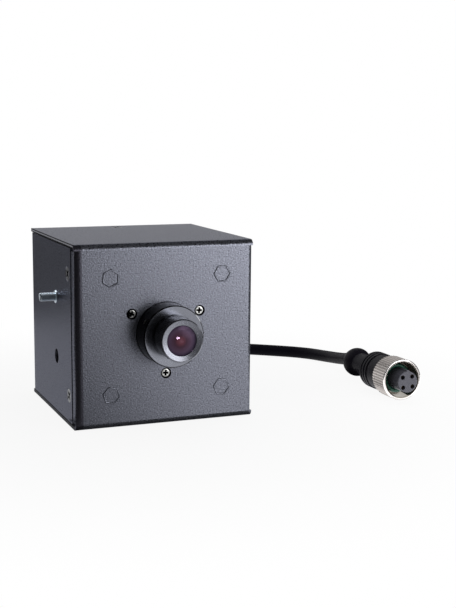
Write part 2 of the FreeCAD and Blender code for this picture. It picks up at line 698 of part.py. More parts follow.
def cable_bushing():
    """A moulded strain relief, snapped into the back wall by its groove."""
    tip = INSIDE_BACK - BUSHING_BARB
    groove_r = BUSHING_HOLE_R - BUSHING_PLAY
    flange, snout = BACK + BUSHING_FLANGE, BACK + BUSHING_SNOUT
    return turned([
        (CABLE_R, tip), (BUSHING_TIP_R, tip), (BUSHING_BARB_R, INSIDE_BACK - BUSHING_BARB_EDGE),
        (BUSHING_BARB_R, INSIDE_BACK), (groove_r, INSIDE_BACK), (groove_r, BACK), (BUSHING_FLANGE_R, BACK),
        (BUSHING_FLANGE_R, flange), (BUSHING_ROOT_R, flange + BUSHING_STEP), (BUSHING_SNOUT_R, snout),
        (CABLE_R, snout),
    ], BUSHING_X, BUSHING_Z)


def network_cable():
    """The round cable, from inside the back wall, down to the table and round to the connector."""
    path, radii = rounded_route(CABLE_ROUTE)
    cable = tube(path, CABLE_R)
    expected = math.pi * CABLE_R ** 2 * path.Length
    print("cable radii", radii, "length", round(path.Length, 1))
    print("cable volume", round(cable.Volume, 1), "section times length", round(expected, 1))
    return cable


def laid(shape):
    """Puts a connector piece where the connector lies, its mouth turned and a little raised."""
    tilt = FreeCAD.Rotation(Vector(1, 0, 0), -CONNECTOR_TILT)
    turn = FreeCAD.Rotation(Vector(0, 0, 1), CONNECTOR_TURN).multiply(tilt)
    shape.Placement = FreeCAD.Placement(Vector(*CONNECTOR_AT), turn).multiply(shape.Placement)
    return shape


def coupling_nut():
    """A ridged ring with an inner flange that keeps it on the insert."""
    corners = []
    for i in range(NUT_RIDGES):
        for radius, step in ((NUT_R, 0.0), (NUT_ROOT_R, 0.5)):
            angle = 2 * math.pi * (i + step) / NUT_RIDGES
            corners.append((radius * math.cos(angle), radius * math.sin(angle)))
    ridged = outline(corners, lambda x, z: Vector(x, 0, z)).extrude(Vector(0, NUT_LENGTH, 0))
    edge_r, over_r, hole_r = NUT_ROOT_R - NUT_CHAMFER_DROP, NUT_R + NUT_CHAMFER_DROP, NOSE_R + RUN_PLAY
    bore_end = NUT_LENGTH - NUT_FLANGE
    envelope = turned([
        (NUT_MOUTH_R, 0), (edge_r, 0), (over_r, NUT_CHAMFER), (over_r, NUT_LENGTH - NUT_CHAMFER),
        (edge_r, NUT_LENGTH), (hole_r, NUT_LENGTH), (hole_r, bore_end), (NUT_BORE_R, bore_end),
        (NUT_BORE_R, NUT_MOUTH_R - NUT_BORE_R),
    ])
    return laid(ridged.common(envelope))


def contact_insert():
    """The insert with its key and four contact holes; its shoulder holds the nut."""
    insert = turned([
        (0, -INSERT_REACH), (INSERT_R - INSERT_EDGE, -INSERT_REACH), (INSERT_R, INSERT_EDGE - INSERT_REACH),
        (INSERT_R, SHOULDER_FRONT), (SHOULDER_R, SHOULDER_FRONT), (SHOULDER_R, SHOULDER_BACK),
        (NOSE_R, SHOULDER_BACK), (NOSE_R, NOSE_END), (0, NOSE_END),
    ])
    key_z = INSERT_R - KEY_SINK
    key = rod((KEY_X, -INSERT_REACH, key_z), (KEY_X, SHOULDER_FRONT - 2 * SEAL_R, key_z), KEY_R)
    insert = insert.fuse(key)
    for x, z in ring_of(4, CONTACT_PITCH_R, CONTACT_TURN, 0, 0):
        insert = insert.cut(rod((x, -INSERT_REACH - PAST, z), (x, NUT_LENGTH, z), CONTACT_HOLE_R))
    return laid(insert)


def contact_sockets():
    """Plain contact tubes a little below the insert's face."""
    outer, start = CONTACT_HOLE_R - CONTACT_PLAY, CONTACT_SINK - INSERT_REACH
    end = NUT_LENGTH - CONTACT_SHORT
    places = ring_of(4, CONTACT_PITCH_R, CONTACT_TURN, 0, 0)
    return laid(Part.makeCompound([ring(outer, CONTACT_BORE_R, start, end, x, z) for x, z in places]))


def insert_seal():
    """A seal ring round the insert, against its shoulder."""
    middle = Vector(0, SHOULDER_FRONT - SEAL_R, 0)
    return laid(Part.makeTorus(INSERT_R + SEAL_R, SEAL_R, middle, Vector(0, 1, 0)))


def connector_body():
    """The moulded grip, with three ridges at its back, and the round strain relief behind it."""
    front = NUT_LENGTH + END_PLAY
    level = front + GRIP_LENGTH
    root, crest = GRIP_R - GROOVE_DEPTH, GRIP_R + RIDGE_RISE
    groove_end = GROOVE_WALL + GROOVE_WIDTH
    profile = [(0, NOSE_END), (NOSE_R, NOSE_END), (NOSE_R, front), (GRIP_R - GRIP_EDGE, front)]
    profile += [(GRIP_R, front + GRIP_EDGE), (GRIP_R, level)]
    for _ in range(RIDGE_COUNT):
        profile += [(root, level + GROOVE_WALL), (root, level + groove_end)]
        profile += [(crest, level + groove_end + GROOVE_WALL), (crest, level + RIDGE_PITCH)]
        level += RIDGE_PITCH
    neck_end = BULB_Y - math.sqrt(BULB_R ** 2 - TAIL_NECK_R ** 2)
    tail_r = math.sqrt(BULB_R ** 2 - (BODY_BACK - BULB_Y) ** 2)
    profile += [(SHOULDER_BACK_R, level + SHOULDER_FALL), (TAIL_NECK_R, level + TAIL_NECK_START)]
    profile += [(TAIL_NECK_R, neck_end), ((BULB_R, BULB_Y), (tail_r, BODY_BACK)), (0, BODY_BACK)]
    return laid(turned(profile))


PIECES = {
    "front_shell": front_shell(),
    "rear_shell": rear_shell(),
    "screw_strips": screw_strips(),
    "shell_side_screws": shell_side_screws(),
    "shell_rear_screws": shell_rear_screws(),
    "panel_standoffs": panel_standoffs(),
    "side_stud": side_stud(),
    "lens_mount": lens_mount(),
    "lens_mount_screws": lens_mount_screws(),
    "lens_lock_screw": lens_lock_screw(),
    "light_seal": light_seal(),
    "lens_barrel": lens_barrel(),
    "lens_front_ring": lens_front_ring(),
    "front_lens": front_lens(),
    "lens_spacer": lens_spacer(),
    "rear_lens": rear_lens(),
    "rear_lens_ring": rear_lens_ring(),
    "sensor_board": board(SENSOR_FACE, SENSOR_BACK),
    "image_sensor": chip(*SENSOR[:4], -SENSOR[4], SENSOR_FACE),
    "sensor_window": chip(*SENSOR_GLASS[:4], -SENSOR_GLASS[4], SENSOR_FACE - SENSOR[4]),
    "board_spacers": board_spacers(),
    "board_link": board_link(),
    "main_board": board(MAIN_FACE, MAIN_BACK),
    "main_board_screws": main_board_screws(),
    "memory_chips": memory_chips(),
    "storage_capacitors": storage_capacitors(),
    "cable_header": chip(HEADER_X, HEADER_Z, HEADER_WIDTH, HEADER_HEIGHT, HEADER_THICK, MAIN_BACK),
    "cable_plug": chip(HEADER_X, HEADER_Z, PLUG_WIDTH, PLUG_HEIGHT, PLUG_THICK, MAIN_BACK + HEADER_THICK),
    "inner_leads": inner_leads(),
    "cable_bushing": cable_bushing(),
    "network_cable": network_cable(),
    "connector_body": connector_body(),
    "coupling_nut": coupling_nut(),
    "contact_insert": contact_insert(),
    "contact_sockets": contact_sockets(),
    "insert_seal": insert_seal(),
}
for component, place in MAIN_COMPONENTS.items():
    PIECES[component] = chip(*place, MAIN_BACK)

os.makedirs("parts", exist_ok=True)
for piece_name, piece in PIECES.items():
    save(piece_name, piece)
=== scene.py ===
# %% [markdown]
# # A cube camera, dressed around its CAD model
#
# The object is a small network camera: two folded steel sheets make a cube, a board lens looks out of the
# front, a plated stud waits on the left wall for a bracket, and a short cable ends in a round connector.
# The CAD model already holds every rigid piece at its true size. This lesson adds what CAD leaves plain:
# the finish of each surface, the thread of the stud, the soft cable, and a small studio to look at it in.

# %% Load the frame
import math

import bpy
from mathutils import Matrix, Vector


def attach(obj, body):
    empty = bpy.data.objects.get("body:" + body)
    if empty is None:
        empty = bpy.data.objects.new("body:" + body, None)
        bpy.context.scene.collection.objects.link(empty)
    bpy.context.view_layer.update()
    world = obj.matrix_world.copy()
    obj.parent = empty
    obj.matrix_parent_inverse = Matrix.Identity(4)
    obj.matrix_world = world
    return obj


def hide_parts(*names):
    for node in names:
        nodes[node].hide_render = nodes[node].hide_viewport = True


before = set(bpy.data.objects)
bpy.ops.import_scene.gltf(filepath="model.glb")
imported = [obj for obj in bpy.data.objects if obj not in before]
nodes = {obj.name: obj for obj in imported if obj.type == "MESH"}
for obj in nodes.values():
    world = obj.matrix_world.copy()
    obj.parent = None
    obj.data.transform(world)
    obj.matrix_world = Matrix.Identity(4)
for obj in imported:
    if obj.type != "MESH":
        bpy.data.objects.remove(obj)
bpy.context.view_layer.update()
MM = 0.001

# %% [markdown]
# ## The camera
#
# The viewpoint was worked out from the edges of the cube in the picture: where the camera stands, which
# way it looks, and how far it is zoomed in. Blender's camera looks along its own -Z, so it is first
# tipped up by a quarter turn, then pitched, and last turned about the vertical.

# %% Camera at the photograph's place
IMAGE_WIDTH, IMAGE_HEIGHT = 456, 608
CAMERA_AT = Vector((-128.5, -404.0, 105.1)) * MM
YAW, PITCH, ROLL = 0.3857, -0.1588, 0.0084
FOCAL_PX = 1170.0
SENSOR_MM = 36.0

bpy.ops.object.select_all(action="DESELECT")
bpy.ops.object.camera_add()
camera = bpy.context.object
camera.name = "photo_camera"
camera.data.sensor_width = SENSOR_MM
camera.data.lens = SENSOR_MM * FOCAL_PX / max(IMAGE_WIDTH, IMAGE_HEIGHT)
turn = Matrix.Rotation(-YAW, 4, "Z") @ Matrix.Rotation(math.pi / 2 + PITCH, 4, "X")
camera.matrix_world = Matrix.Translation(CAMERA_AT) @ turn @ Matrix.Rotation(ROLL, 4, "Z")
bpy.context.scene.camera = camera
print("lens", round(camera.data.lens, 2), "mm")

# %% [markdown]
# ## The cable
#
# A round black cable leaves the back wall through a strain relief, sinks to the table, runs round behind
# the cube and comes forward to the connector. A NURBS curve is the natural tool: it bends smoothly, as a
# jacket does, and its bevel gives the round section. The points are the same route that the CAD tube
# follows, and each carries the cable's radius, which scales a bevel of 1: so the curve's own box is as
# big as the cable.

# %% Cable on one smooth curve
CABLE_DIAMETER = 4.9 * MM
CABLE_STEPS, CABLE_SIDES = 16, 8
CABLE_ROUTE = [
    (17.0, 26.0, 14.0), (17.0, 42.0, 14.0), (18.5, 57.5, 11.0), (27.0, 71.5, 5.6), (42.0, 79.0, 2.9),
    (59.0, 78.0, 2.5), (78.3, 65.0, 2.5), (93.6, 52.7, 2.5), (97.7, 37.8, 3.3), (97.25, 23.5, 5.2),
    (96.55, 16.7, 6.66), (96.37, 13.69, 6.75),
]

route = bpy.data.curves.new("cable", "CURVE")
route.dimensions = "3D"
spline = route.splines.new("NURBS")
spline.points.add(len(CABLE_ROUTE) - 1)
for point, place in zip(spline.points, CABLE_ROUTE):
    point.co = (*(Vector(place) * MM), 1)
    point.radius = CABLE_DIAMETER / 2
spline.order_u = 3
spline.use_endpoint_u = True
spline.resolution_u = CABLE_STEPS
route.bevel_depth = 1.0
route.bevel_resolution = CABLE_SIDES
route.use_fill_caps = True
cable = bpy.data.objects.new("cable", route)
bpy.context.collection.objects.link(cable)
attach(cable, "camera")
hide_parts("network_cable")
print("cable points", len(spline.points))

# %% [markdown]
# ## The stud's thread
#
# The stud on the left wall is an M3 screw thread, which the CAD model keeps as a plain round bar. A
# thread is one tooth drawn out along a helix, and Blender's Screw modifier does just that: one tooth's
# section, as tall as the thread and as wide as its pitch, is turned round the axis and moves on by one
# pitch in each turn. The ends are then cut flat and filled, the tip is drawn in to a cone, and a pressed
# collar sits on the wall.

# %% Thread wound from one tooth
STUD_AXIS = Vector((0, -6.0, 42.4)) * MM
THREAD_PITCH = 0.5 * MM
THREAD_CREST, THREAD_ROOT = 1.5 * MM, 1.3 * MM
CREST_SHARE = 0.55
THREAD_FROM, THREAD_TO = -31.2 * MM, -37.5 * MM
THREAD_TURNS = 15
THREAD_STEPS = 32
TIP_LENGTH, TIP_SHARE = 0.3 * MM, 0.8
NEARLY = 0.005 * MM


def edit(selected="DESELECT"):
    """Goes into edit mode with all of the mesh selected, or none of it."""
    bpy.ops.object.mode_set(mode="EDIT")
    bpy.ops.mesh.select_all(action=selected)


def pick(piece, wanted, kind="edges"):
    """Selects edges or faces by their middle, and leaves the piece in edit mode."""
    edit()
    bpy.ops.mesh.select_mode(type="EDGE" if kind == "edges" else "FACE")
    bpy.ops.object.mode_set(mode="OBJECT")
    points = piece.data.vertices
    for item in piece.data.edges if kind == "edges" else piece.data.polygons:
        corners = [points[i].co for i in item.vertices]
        item.select = wanted(sum(corners, Vector()) / len(corners))
    bpy.ops.object.mode_set(mode="EDIT")


bpy.ops.object.select_all(action="DESELECT")
bpy.ops.mesh.primitive_plane_add(size=1)
thread = bpy.context.object
edit("SELECT")
middle_height = (THREAD_CREST + THREAD_ROOT) / 2
bpy.ops.transform.resize(value=(THREAD_PITCH, THREAD_CREST - THREAD_ROOT, 1))
bpy.ops.transform.translate(value=(0, middle_height, 0))
pick(thread, lambda at: at.y > middle_height and abs(at.x) < THREAD_PITCH / 4)
bpy.ops.transform.resize(value=(CREST_SHARE, 1, 1))
pick(thread, lambda at: at.y < middle_height and abs(at.x) < THREAD_PITCH / 4)
bpy.ops.mesh.delete(type="EDGE")
bpy.ops.object.mode_set(mode="OBJECT")
winding = thread.modifiers.new("winding", "SCREW")
winding.axis = "X"
winding.angle = 2 * math.pi
winding.screw_offset = THREAD_PITCH
winding.iterations = THREAD_TURNS
winding.steps = winding.render_steps = THREAD_STEPS
bpy.ops.object.modifier_apply(modifier=winding.name)
print("thread", len(thread.data.polygons), "faces", [round(v, 5) for v in thread.dimensions])

# %% Thread cut to length, with a coned tip
edit("SELECT")
bpy.ops.mesh.remove_doubles(threshold=NEARLY)
bpy.ops.transform.translate(value=(THREAD_TO - 2 * THREAD_PITCH, 0, 0))
for cut, inner, outer in ((THREAD_FROM, False, True), (THREAD_TO, True, False)):
    bpy.ops.mesh.select_all(action="SELECT")
    bpy.ops.mesh.bisect(
        plane_co=(cut, 0, 0), plane_no=(1, 0, 0), use_fill=True, clear_inner=inner, clear_outer=outer)
bpy.ops.mesh.select_all(action="SELECT")
bpy.ops.mesh.normals_make_consistent(inside=False)
pick(thread, lambda at: at.x < THREAD_TO + NEARLY, "faces")
bpy.ops.mesh.extrude_region_move(TRANSFORM_OT_translate={"value": (-TIP_LENGTH, 0, 0)})
bpy.ops.transform.resize(value=(1, TIP_SHARE, TIP_SHARE))
edit("SELECT")
bpy.ops.transform.translate(value=STUD_AXIS)
bpy.ops.object.mode_set(mode="OBJECT")
corners = thread.bound_box[0], thread.bound_box[6]
print("thread box", [[round(v / MM, 2) for v in corner] for corner in corners])

# %% Collar on the wall and head behind it
# left end, right end and radius in mm
DISCS = [(-32.35, -31.95, 2.3), (-30.85, -29.9, 2.4)]
DISC_SIDES, DISC_EDGE = 64, 0.1 * MM
SMOOTH_UNDER = 25


def join(pieces, name, smooth_under):
    """Makes one named piece of several and smooths it where its faces meet at less than some degrees."""
    bpy.ops.object.select_all(action="DESELECT")
    for piece in pieces:
        piece.select_set(True)
    bpy.context.view_layer.objects.active = pieces[0]
    bpy.ops.object.join()
    pieces[0].name = name
    bpy.ops.object.shade_smooth_by_angle(angle=math.radians(smooth_under))
    return pieces[0]


discs = []
for left, right, radius in DISCS:
    bpy.ops.object.select_all(action="DESELECT")
    at = STUD_AXIS + Vector(((left + right) / 2 * MM, 0, 0))
    bpy.ops.mesh.primitive_cylinder_add(
        vertices=DISC_SIDES, radius=radius * MM, depth=(right - left) * MM, location=at,
        rotation=(0, math.pi / 2, 0))
    disc = bpy.context.object
    bpy.ops.object.transform_apply(location=True, rotation=True, scale=True)
    edge = disc.modifiers.new("edge", "BEVEL")
    edge.width = DISC_EDGE
    edge.segments = 2
    bpy.ops.object.modifier_apply(modifier=edge.name)
    discs.append(disc)
join([thread, *discs], "threaded_stud", SMOOTH_UNDER)
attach(thread, "camera")
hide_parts("side_stud")
print("stud", len(thread.data.polygons), "faces")

# %% [markdown]
# ## The lip of the coupling nut
#
# The mouth of the nut is turned to a round, polished lip, which shows as one bright line. A torus is that
# shape already: it is turned to the nut's slanting axis and sunk into the front edge of the CAD solid.

# %% Round lip
NUT_AT = Vector((93.71, -31.08, 8.08)) * MM
NUT_AXIS = Vector((-0.05928, -0.997802, 0.029666))
LIP_RADIUS, LIP_HALF, LIP_BACK = 7.3 * MM, 0.48 * MM, 0.27 * MM
LIP_SQUASH = 0.55
LIP_STEPS, LIP_SIDES = 96, 16

bpy.ops.object.select_all(action="DESELECT")
bpy.ops.mesh.primitive_torus_add(
    major_segments=LIP_STEPS, minor_segments=LIP_SIDES, major_radius=LIP_RADIUS, minor_radius=LIP_HALF,
    location=NUT_AT - LIP_BACK * NUT_AXIS, rotation=NUT_AXIS.to_track_quat("Z", "Y").to_euler())
nut_lip = bpy.context.object
nut_lip.name = "nut_lip"
nut_lip.scale.z = LIP_SQUASH
bpy.ops.object.transform_apply(location=True, rotation=True, scale=True)
bpy.ops.object.shade_smooth()
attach(nut_lip, "nut")
print("lip", len(nut_lip.data.polygons), "faces")

# %% [markdown]
# ## The screws round the lens
#
# Three small countersunk screws hold the lens. A cylinder is the natural start for one: its back face is
# drawn in to the shank by extrude and resize, and its front edge is bevelled. The cross recess is punched
# with two tapered bars, as the header's punch does it: a boolean cuts them out. One screw is modelled and
# copied, and each copy is turned as its driver left it. One of them sits a little askew.

# %% One countersunk screw
PANEL_FRONT = -31.5 * MM
SCREW_SINK, SCREW_LENGTH = 0.45 * MM, 4.2 * MM
HEAD_RADIUS, SHANK_RADIUS, HEAD_RIM = 1.36 * MM, 0.8 * MM, 0.15 * MM
HEAD_EDGE = 0.07 * MM
CROSS_REACH, CROSS_WIDTH, CROSS_DEPTH = 1.3 * MM, 0.95 * MM, 0.8 * MM
CROSS_FOOT = 0.6
CONE = HEAD_RADIUS - SHANK_RADIUS
SCREW_SIDES = 48
# a cube of size 1 has its back face here
BACK_FACE = 0.5

bpy.ops.object.select_all(action="DESELECT")
bpy.ops.mesh.primitive_cylinder_add(
    vertices=SCREW_SIDES, radius=HEAD_RADIUS, depth=HEAD_RIM, location=(0, SCREW_SINK + HEAD_RIM / 2, 0),
    rotation=(math.pi / 2, 0, 0))
bpy.ops.object.transform_apply(location=True, rotation=True, scale=True)
screw = bpy.context.object
pick(screw, lambda at: at.y > SCREW_SINK + HEAD_RIM - NEARLY, "faces")
bpy.ops.mesh.extrude_region_move(TRANSFORM_OT_translate={"value": (0, CONE, 0)})
bpy.ops.transform.resize(value=(SHANK_RADIUS / HEAD_RADIUS, 1, SHANK_RADIUS / HEAD_RADIUS))
bpy.ops.mesh.extrude_region_move(
    TRANSFORM_OT_translate={"value": (0, SCREW_LENGTH - SCREW_SINK - HEAD_RIM - CONE, 0)})
pick(screw, lambda at: at.y < SCREW_SINK + NEARLY)
bpy.ops.mesh.bevel(offset=HEAD_EDGE, segments=2)
bpy.ops.object.mode_set(mode="OBJECT")
print("screw", len(screw.data.polygons), "faces")

# %% Cross punched into its head
for turned in (0, math.pi / 2):
    bpy.ops.object.select_all(action="DESELECT")
    bpy.ops.mesh.primitive_cube_add(size=1, location=(0, SCREW_SINK, 0), rotation=(0, turned, 0))
    bar = bpy.context.object
    bar.scale = (2 * CROSS_REACH, 2 * CROSS_DEPTH, CROSS_WIDTH)
    pick(bar, lambda at: at.y > BACK_FACE - NEARLY, "faces")
    bpy.ops.transform.resize(value=(CROSS_FOOT, 1, CROSS_FOOT))
    bpy.ops.object.mode_set(mode="OBJECT")
    punch = screw.modifiers.new("punch", "BOOLEAN")
    punch.object = bar
    bpy.context.view_layer.objects.active = screw
    bpy.ops.object.modifier_apply(modifier=punch.name)
    bpy.data.objects.remove(bar)
print("punched screw", len(screw.data.polygons), "faces")

# %% Three of them on their circle
SCREW_CIRCLE, LENS_AXIS_Z = 14.1 * MM, 32.0 * MM
# place on the circle, turn of the cross and lean of the screw, in degrees
SCREW_TURNS = [(30, 5, 0), (150, 25, -6), (270, 5, 0)]

screws = []
screw_places = []
for place, turned, askew in SCREW_TURNS:
    bpy.ops.object.select_all(action="DESELECT")
    screw.select_set(True)
    bpy.context.view_layer.objects.active = screw
    bpy.ops.object.duplicate()
    copy = bpy.context.object
    around = math.radians(place)
    middle_x = SCREW_CIRCLE * math.cos(around)
    middle_z = LENS_AXIS_Z + SCREW_CIRCLE * math.sin(around)
    screw_places.append((middle_x, PANEL_FRONT, middle_z))
    copy.rotation_euler = (0, math.radians(turned), math.radians(askew))
    copy.location = screw_places[-1]
    bpy.ops.object.transform_apply(location=True, rotation=True, scale=True)
    screws.append(copy)
bpy.data.objects.remove(screw)
lens_screws = join(screws, "lens_screws", SMOOTH_UNDER)
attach(lens_screws, "camera")
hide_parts("lens_mount_screws")
print("lens screws", len(lens_screws.data.polygons), "faces")

# %% [markdown]
# ## Beads round the clinch standoffs
#
# Four standoffs are pressed into the front panel. The press pushes up a thin bead of sheet metal along
# each hexagon head, and the coat rounds it off. A torus with only six segments round is just such a
# hexagon bead: it is squashed, turned to its head's own angle and set into the panel's face.

# %% Hexagon beads
BEAD_CORNER, BEAD_HALF, BEAD_SQUASH = 2.96 * MM, 0.34 * MM, 0.75
BEAD_SIDES, BEAD_SMOOTH = 10, 40
CORNER_UP = 30
# place across and up in mm, and turn in degrees
STANDOFF_TURNS = {(-19.5, 51.5): -6, (20.5, 51.5): 30, (-19.5, 11.5): 17, (20.5, 11.5): 23}

beads = []
for (x, z), turned in STANDOFF_TURNS.items():
    bpy.ops.object.select_all(action="DESELECT")
    bpy.ops.mesh.primitive_torus_add(
        major_segments=6, minor_segments=BEAD_SIDES, major_radius=BEAD_CORNER, minor_radius=BEAD_HALF,
        rotation=(0, 0, math.radians(turned + CORNER_UP)))
    bead = bpy.context.object
    bead.scale.z = BEAD_SQUASH
    bpy.ops.object.transform_apply(location=True, rotation=True, scale=True)
    bead.rotation_euler.x = math.pi / 2
    bead.location = (x * MM, PANEL_FRONT, z * MM)
    bpy.ops.object.transform_apply(location=True, rotation=True, scale=True)
    beads.append(bead)
standoff_beads = join(beads, "standoff_beads", BEAD_SMOOTH)
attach(standoff_beads, "camera")
print("beads", len(standoff_beads.data.polygons), "faces")

# %% [markdown]
# ## Helpers for materials
#
# A few small functions carry every finish below. One turns a colour as it is written for a screen into
# the linear light that the renderer works in. One adds a node, sets it and wires it. One starts a
# material with its shader ready, and one gives it the fine grain that nearly every moulded, coated or
# plated surface has.

# %% Colour, node and material helpers
def colour(code):
    """Linear RGBA of an sRGB hex code."""
    parts = [int(code[i:i + 2], 16) / 255 for i in (1, 3, 5)]
    linear = [p / 12.92 if p <= 0.04045 else ((p + 0.055) / 1.055) ** 2.4 for p in parts]
    return (*linear, 1.0)


def add(tree, kind, inputs=None, **settings):
    """Adds a node; each input is a value, or the output of another node to link."""
    made = tree.nodes.new("ShaderNode" + kind)
    for name, value in settings.items():
        setattr(made, name, value)
    for name, value in (inputs or {}).items():
        if isinstance(value, bpy.types.NodeSocket):
            tree.links.new(value, made.inputs[name])
        else:
            made.inputs[name].default_value = value
    return made


def own_place(tree):
    """The place on a piece, in the frame that all pieces share."""
    return add(tree, "TexCoord").outputs["Object"]


def start(name, **sockets):
    """A new material, its node tree, its shader and the place on the piece."""
    material = bpy.data.materials.new(name)
    material.use_nodes = True
    tree = material.node_tree
    shader = tree.nodes["Principled BSDF"]
    for socket, value in sockets.items():
        shader.inputs[socket.replace("_", " ")].default_value = value
    return material, tree, shader, own_place(tree)


def dress(material, *names):
    """Gives CAD nodes a finish."""
    for name in names:
        nodes[name].data.materials.clear()
        nodes[name].data.materials.append(material)
    print(material.name, "on", len(names))


# %% Helpers that lay a pattern on a shader
GRAIN_DETAIL, GRAIN_ROUGHNESS = 2.0, 0.55
GRAIN_LOW, GRAIN_HIGH = 0.3, 0.7


def blend(tree, factor, low, high):
    """A colour between two hex codes, by a factor from another node."""
    mix = add(tree, "Mix", {"Factor": factor, "A": colour(low), "B": colour(high)}, data_type="RGBA")
    return mix.outputs["Result"]


def ramp(tree, value, start_at, end_at):
    """A mask that goes from 0 to 1 while a value goes from one mark to another."""
    rise = add(tree, "MapRange", {"Value": value, "From Min": start_at, "From Max": end_at})
    return rise.outputs["Result"]


def finish(tree, shader, pattern, tones, gloss, height):
    """Lets a pattern from 0 to 1 drive a shader's colour, its roughness and its relief."""
    tree.links.new(blend(tree, pattern, *tones), shader.inputs["Base Color"])
    shine = add(tree, "MapRange", {"Value": pattern, "To Min": gloss[0], "To Max": gloss[1]})
    tree.links.new(shine.outputs["Result"], shader.inputs["Roughness"])
    relief = add(tree, "Bump", {"Height": pattern, "Distance": height, "Strength": 1.0})
    tree.links.new(relief.outputs["Normal"], shader.inputs["Normal"])


def grained(name, tones, grain, gloss, height, **sockets):
    """A finish with a fine, even grain."""
    material, tree, shader, here = start(name, **sockets)
    grit = add(tree, "TexNoise", {
        "Vector": here, "Scale": 1 / grain, "Detail": GRAIN_DETAIL, "Roughness": GRAIN_ROUGHNESS})
    finish(tree, shader, ramp(tree, grit.outputs["Fac"], GRAIN_LOW, GRAIN_HIGH), tones, gloss, height)
    return material


# %% [markdown]
# ## The housing's coat
#
# The sheets are steel with a textured powder coat in anthracite: grit with fine metal flakes that is
# sprayed on and baked, so it flows into soft lumps. The flakes make it a metal to the eye, dark where it
# mirrors the dark studio and grey where it mirrors a lamp, and the lumps break up each reflection into a
# fine grain.

# %% Anthracite powder coat
COAT_LUMP, COAT_HEIGHT = 0.5 * MM, 0.032 * MM
COAT_EDGE = colour("#999aa2")

coat = grained("anthracite_powder_coat", ("#565861", "#848691"), COAT_LUMP, (0.26, 0.34), COAT_HEIGHT,
               Metallic=0.8, Specular_Tint=COAT_EDGE)
dress(coat, "front_shell", "rear_shell", "panel_standoffs")
standoff_beads.data.materials.append(coat)

# %% [markdown]
# ## Where the coat is painted with shade and highlight
#
# Three places on the sheets have light or shade painted into the coat's colour. The countersinks round the
# lens screws lie in deep shade, painted near black. The top and bottom sheets end in a sheared edge,
# painted dark as shade, with one painted light line as a highlight. And down the left bend the sheet turns
# away from the lamp, so the coat is painted darker there as shade. Each could be a piece of its own, but
# on the real object it is the same sheet, so the coat's colour is changed instead: a mask, a number from 0
# to 1, is worked out from the place on the sheet in real millimetres, and mixes in another colour where it
# is 1.

# %% Helpers for masks
def both(tree, one, other):
    """A mask that is 1 only where two masks are."""
    return add(tree, "Math", {0: one, 1: other}, operation="MULTIPLY").outputs[0]


def from_middle(tree, value, middle):
    """How far a value is from a middle, on either side."""
    shifted = add(tree, "Math", {0: value, 1: middle}, operation="SUBTRACT").outputs[0]
    return add(tree, "Math", {0: shifted}, operation="ABSOLUTE").outputs[0]


def recolour(material, mask, code):
    """Changes a finish to another colour where a mask says so."""
    tree = material.node_tree
    base = tree.nodes["Principled BSDF"].inputs["Base Color"]
    earlier = base.links[0].from_socket
    mix = add(tree, "Mix", {"Factor": mask, "A": earlier, "B": colour(code)}, data_type="RGBA")
    tree.links.new(mix.outputs["Result"], base)


# %% Countersinks with painted deep shade
SINK_MOUTH, SINK_BLUR = 1.86 * MM, 0.06 * MM
SINK_PAINTED_SHADE = "#0c0c0e"
FAR_AWAY = 1.0

tree = coat.node_tree
here = own_place(tree)
nearest = FAR_AWAY
for middle in screw_places:
    gap = add(tree, "VectorMath", {0: here, 1: middle}, operation="DISTANCE").outputs["Value"]
    nearest = add(tree, "Math", {0: gap, 1: nearest}, operation="MINIMUM").outputs[0]
# paints the coat near black round each lens screw, as shade
recolour(coat, ramp(tree, nearest, SINK_MOUTH + SINK_BLUR, SINK_MOUTH), SINK_PAINTED_SHADE)
print("countersinks", len(screw_places))

# %% Sheared edges of the top and bottom sheet, painted dark as shade with a painted highlight line
EDGE_SIDE, EDGE_HEIGHT, EDGE_SOFT = 31.75 * MM, 30.2 * MM, 0.1 * MM
HALF_HEIGHT = 31.5 * MM
LINE_AT, LINE_HALF = 62.4 * MM, 0.16 * MM
EDGE_PAINTED_SHADE, LINE_PAINTED_HIGHLIGHT = "#141417", "#e4e6ec"

place = add(tree, "SeparateXYZ", {"Vector": here}).outputs
aside = ramp(tree, from_middle(tree, place["X"], 0.0), EDGE_SIDE, EDGE_SIDE + EDGE_SOFT)
outer = ramp(tree, from_middle(tree, place["Z"], HALF_HEIGHT), EDGE_HEIGHT, EDGE_HEIGHT + EDGE_SOFT)
sheared = both(tree, aside, outer)
line = ramp(tree, from_middle(tree, place["Z"], LINE_AT), 2 * LINE_HALF, LINE_HALF)
# painted shade along the sheared edges, and a light line painted along the top sheet's edge as a highlight
recolour(coat, sheared, EDGE_PAINTED_SHADE)
recolour(coat, both(tree, sheared, line), LINE_PAINTED_HIGHLIGHT)
print("sheared edges with a line of", round(2 * LINE_HALF / MM, 2), "mm")

# %% Painted shade down the left bend
BAND_FROM, BAND_TO = -29.1 * MM, -29.6 * MM
BAND_BACK, BAND_FRONT = -30.2 * MM, -30.5 * MM
BAND_PAINTED_SHADE = "#4b4a53"

leftward = ramp(tree, place["X"], BAND_FROM, BAND_TO)
forward = ramp(tree, place["Y"], BAND_BACK, BAND_FRONT)
# paints the coat darker down the left bend, as shade
recolour(coat, both(tree, leftward, forward), BAND_PAINTED_SHADE)
print("dark band, soft over", round((BAND_FROM - BAND_TO) / MM, 2), "mm")

# %% [markdown]
# ## Screws, stud and strips
#
# Three platings are in view. The little screws round the lens are bright nickel, the screws that close
# the housing are black zinc, nearly as dark as the coat, and the stud is bluish bright zinc. Plating
# follows the metal under it and is only a little uneven, so the grain is faint and mostly shifts the
# gloss.

# %% Platings
PLATING_GRAIN, PLATING_HEIGHT = 0.4 * MM, 0.002 * MM


def plated(name, tones, gloss, metallic=1.0):
    """A plated metal, with the faint grain that all platings share."""
    return grained(name, tones, PLATING_GRAIN, gloss, PLATING_HEIGHT, Metallic=metallic)


